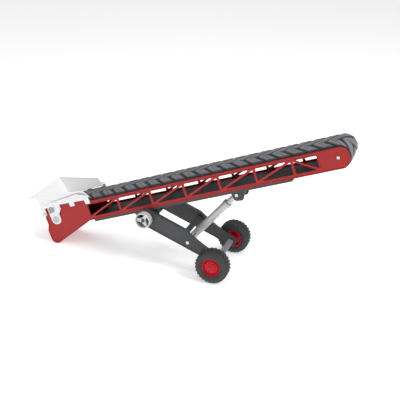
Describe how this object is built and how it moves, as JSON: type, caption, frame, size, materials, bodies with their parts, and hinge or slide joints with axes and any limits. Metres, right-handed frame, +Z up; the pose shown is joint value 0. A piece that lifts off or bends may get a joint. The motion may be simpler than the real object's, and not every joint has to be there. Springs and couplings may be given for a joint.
{
  "type": "toy belt conveyor",
  "caption": "Toy mobile belt conveyor: inclined red lattice boom with a chevron belt, a white tilting hopper, a hand wheel drive, two wheels and a telescopic strut.",
  "frame": {"origin": "centre of the footprint of the bounding box, on the ground under the wheels and the foot's heel", "axes": "+X runs along the conveyor from the hopper to the raised discharge head, +Y to the far side from the hand wheel, +Z up"},
  "size_m": [0.69, 0.1844, 0.3218],
  "materials": {
    "red_plastic": "glossy moulded red",
    "dark_plastic": "satin dark grey",
    "belt_rubber": "matt grey rubber with chevron cleats",
    "tyre_rubber": "matt black",
    "hub_plastic": "glossy moulded red",
    "white_plastic": "satin white",
    "silver_plastic": "silver-grey moulded",
    "grey_plastic": "satin grey",
    "steel": "plain bright pins"
  },
  "bodies": {
    "boom": {"side_frame_near": "red_plastic", "side_frame_far": "red_plastic", "foot_pan": "red_plastic", "slider_bed": "dark_plastic", "undertray": "dark_plastic", "tie_bar_1": "steel", "tie_bar_3": "steel", "tie_bar_5": "steel", "pivot_lug_near": "dark_plastic", "pivot_lug_far": "dark_plastic", "strut_lug_near": "dark_plastic", "strut_lug_far": "dark_plastic", "head_roller_pin": "steel", "tail_roller_pin": "steel", "hopper_hinge_pin_near": "steel", "hopper_hinge_pin_far": "steel", "strut_head_pin": "steel", "conveyor_belt": "belt_rubber"},
    "drive": {"drive_shaft": "steel", "drive_roller": "dark_plastic", "hand_wheel": "silver_plastic", "hand_wheel_screw": "dark_plastic"},
    "head_roller": {"head_roller": "dark_plastic"},
    "tail_roller": {"tail_roller": "dark_plastic"},
    "hopper": {"hopper": "white_plastic"},
    "undercarriage": {"arm_near": "dark_plastic", "arm_far": "dark_plastic", "axle_beam": "grey_plastic", "wheel_axle": "steel", "arm_brace": "dark_plastic", "strut_foot_pin": "steel"},
    "wheel_near": {"wheel_rim_near": "hub_plastic", "tyre_near": "tyre_rubber", "hub_cap_near": "hub_plastic"},
    "wheel_far": {"wheel_rim_far": "hub_plastic", "tyre_far": "tyre_rubber", "hub_cap_far": "hub_plastic"},
    "strut_outer": {"strut_tube": "silver_plastic", "strut_collar": "silver_plastic"},
    "strut_inner": {"strut_rod": "silver_plastic"}
  },
  "joints": [
    {"name": "hand_wheel_spin", "type": "hinge", "parent": "boom", "child": "drive", "pos_m": [-0.07219, -0.0625, 0.10591], "axis": [0, 1, 0], "continuous": true},
    {"name": "head_roller_spin", "type": "hinge", "parent": "boom", "child": "head_roller", "pos_m": [0.31978, 0, 0.29641], "axis": [0, 1, 0], "continuous": true},
    {"name": "tail_roller_spin", "type": "hinge", "parent": "boom", "child": "tail_roller", "pos_m": [-0.28967, 0, 0.06612], "axis": [0, 1, 0], "continuous": true},
    {"name": "arm_tilt", "type": "hinge", "parent": "boom", "child": "undercarriage", "pos_m": [-0.07219, 0, 0.10591], "axis": [0, 1, 0], "range_deg": [-8, 8]},
    {"name": "strut_swing", "type": "hinge", "parent": "undercarriage", "child": "strut_outer", "pos_m": [0.0245, 0, 0.06623], "axis": [0, 1, 0], "range_deg": [-9.99, 9.99]},
    {"name": "strut_slide", "type": "slide", "parent": "strut_outer", "child": "strut_inner", "axis": [0.6422, 0, 0.7665], "range_m": [-0.01416, 0.01416]},
    {"name": "wheel_near_spin", "type": "hinge", "parent": "undercarriage", "child": "wheel_near", "pos_m": [0.08884, -0.0777, 0.0362], "axis": [0, 1, 0], "continuous": true},
    {"name": "wheel_far_spin", "type": "hinge", "parent": "undercarriage", "child": "wheel_far", "pos_m": [0.08884, 0.0777, 0.0362], "axis": [0, 1, 0], "continuous": true},
    {"name": "hopper_tilt", "type": "hinge", "parent": "boom", "child": "hopper", "pos_m": [-0.32151, 0, 0.06665], "axis": [0, -1, 0], "range_deg": [0, 60]}
  ],
  "couplings": [
    {"joint": "head_roller_spin", "follows": "hand_wheel_spin", "ratio": -0.6493},
    {"joint": "tail_roller_spin", "follows": "hand_wheel_spin", "ratio": -0.6493},
    {"joint": "strut_swing", "follows": "arm_tilt", "ratio": -1.2234},
    {"joint": "strut_slide", "follows": "arm_tilt", "m_per_rad": 0.09923}
  ]
}
